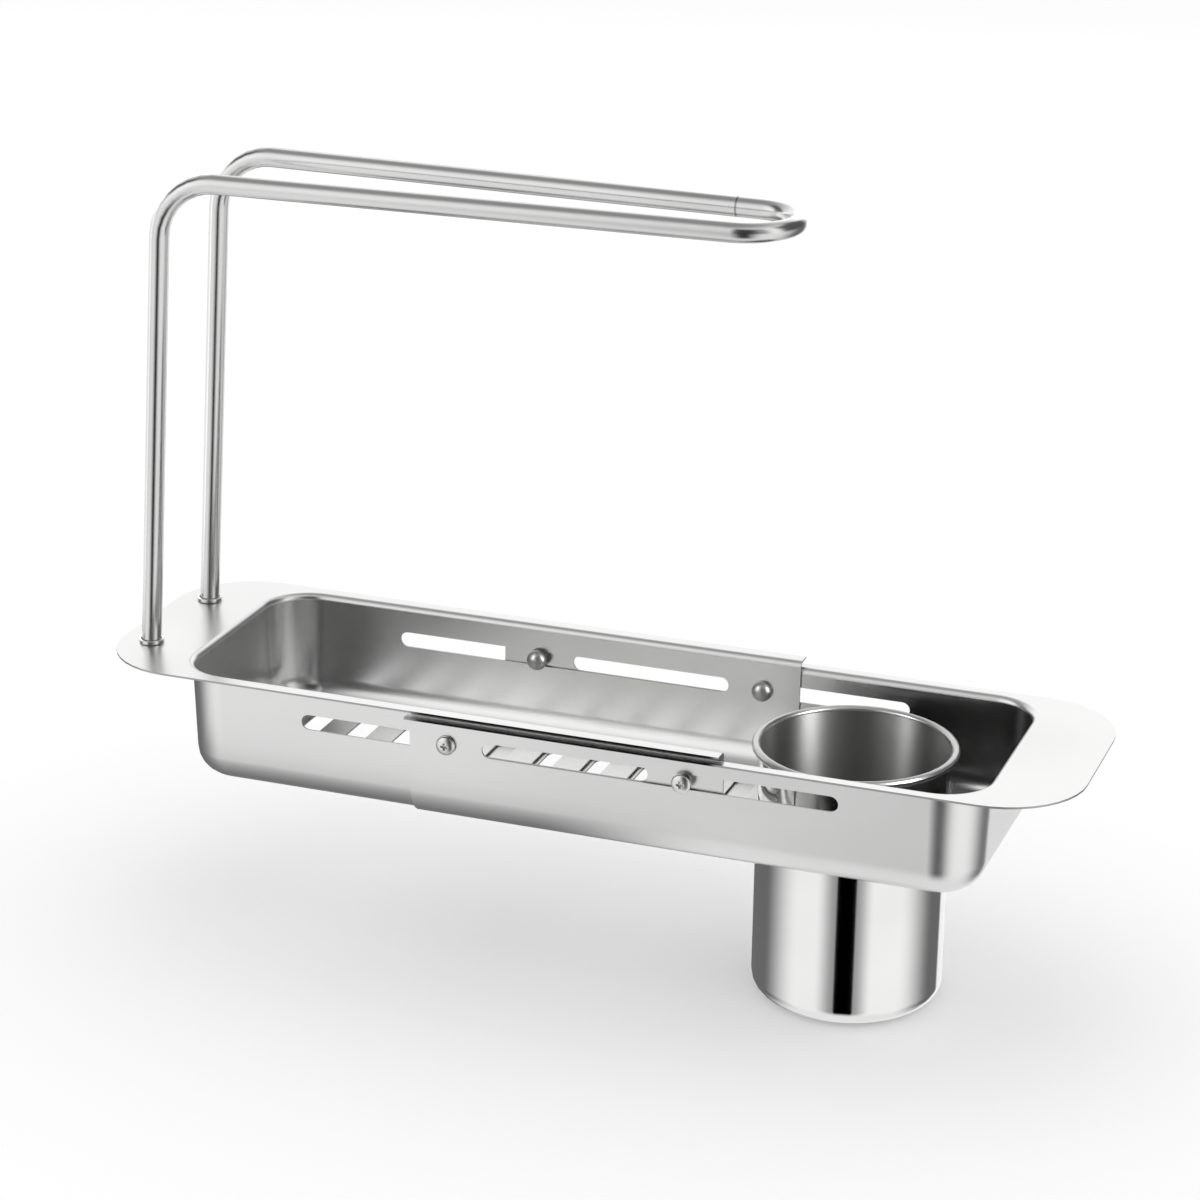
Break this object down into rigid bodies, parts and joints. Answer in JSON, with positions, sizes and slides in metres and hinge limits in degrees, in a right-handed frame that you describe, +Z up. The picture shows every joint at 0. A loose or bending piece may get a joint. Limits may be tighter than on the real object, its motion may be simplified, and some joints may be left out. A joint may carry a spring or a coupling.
{
  "type": "sink drainer basket",
  "caption": "Telescoping sink drainer: two nested sheet-steel trays with slotted walls and floors, a lift-out cup and a bent-tube towel bar.",
  "frame": {"origin": "underside of the left wing, midway between the two towel-bar posts", "axes": "+X along the length towards the cup, +Y to the back, +Z up"},
  "size_m": [0.4013, 0.115, 0.3126],
  "materials": {
    "tray_steel": "satin brushed stainless steel",
    "cup_steel": "mirror-polished stainless steel",
    "bar_steel": "satin-polished stainless tube",
    "fastener_steel": "bright stainless fasteners"
  },
  "bodies": {
    "base": {"left_tray": "tray_steel", "towel_bar": "bar_steel", "post_ring_front": "bar_steel", "post_plug_front": "fastener_steel", "post_screw_front": "fastener_steel", "post_washer_front": "fastener_steel", "slide_screw_right_front": "fastener_steel", "cap_nut_right_front": "fastener_steel", "post_ring_back": "bar_steel", "post_plug_back": "fastener_steel", "post_screw_back": "fastener_steel", "post_washer_back": "fastener_steel", "slide_screw_right_back": "fastener_steel", "cap_nut_right_back": "fastener_steel"},
    "slider": {"right_tray": "tray_steel", "slide_screw_left_front": "fastener_steel", "cap_nut_left_front": "fastener_steel", "slide_screw_left_back": "fastener_steel", "cap_nut_left_back": "fastener_steel"},
    "cup": {"cup": "cup_steel"}
  },
  "joints": [
    {"name": "tray_slide", "type": "slide", "parent": "base", "child": "slider", "axis": [1, 0, 0], "range_m": [0, 0.079]},
    {"name": "cup_lift", "type": "slide", "parent": "slider", "child": "cup", "axis": [0, 0, 1], "range_m": [0, 0.12]}
  ]
}
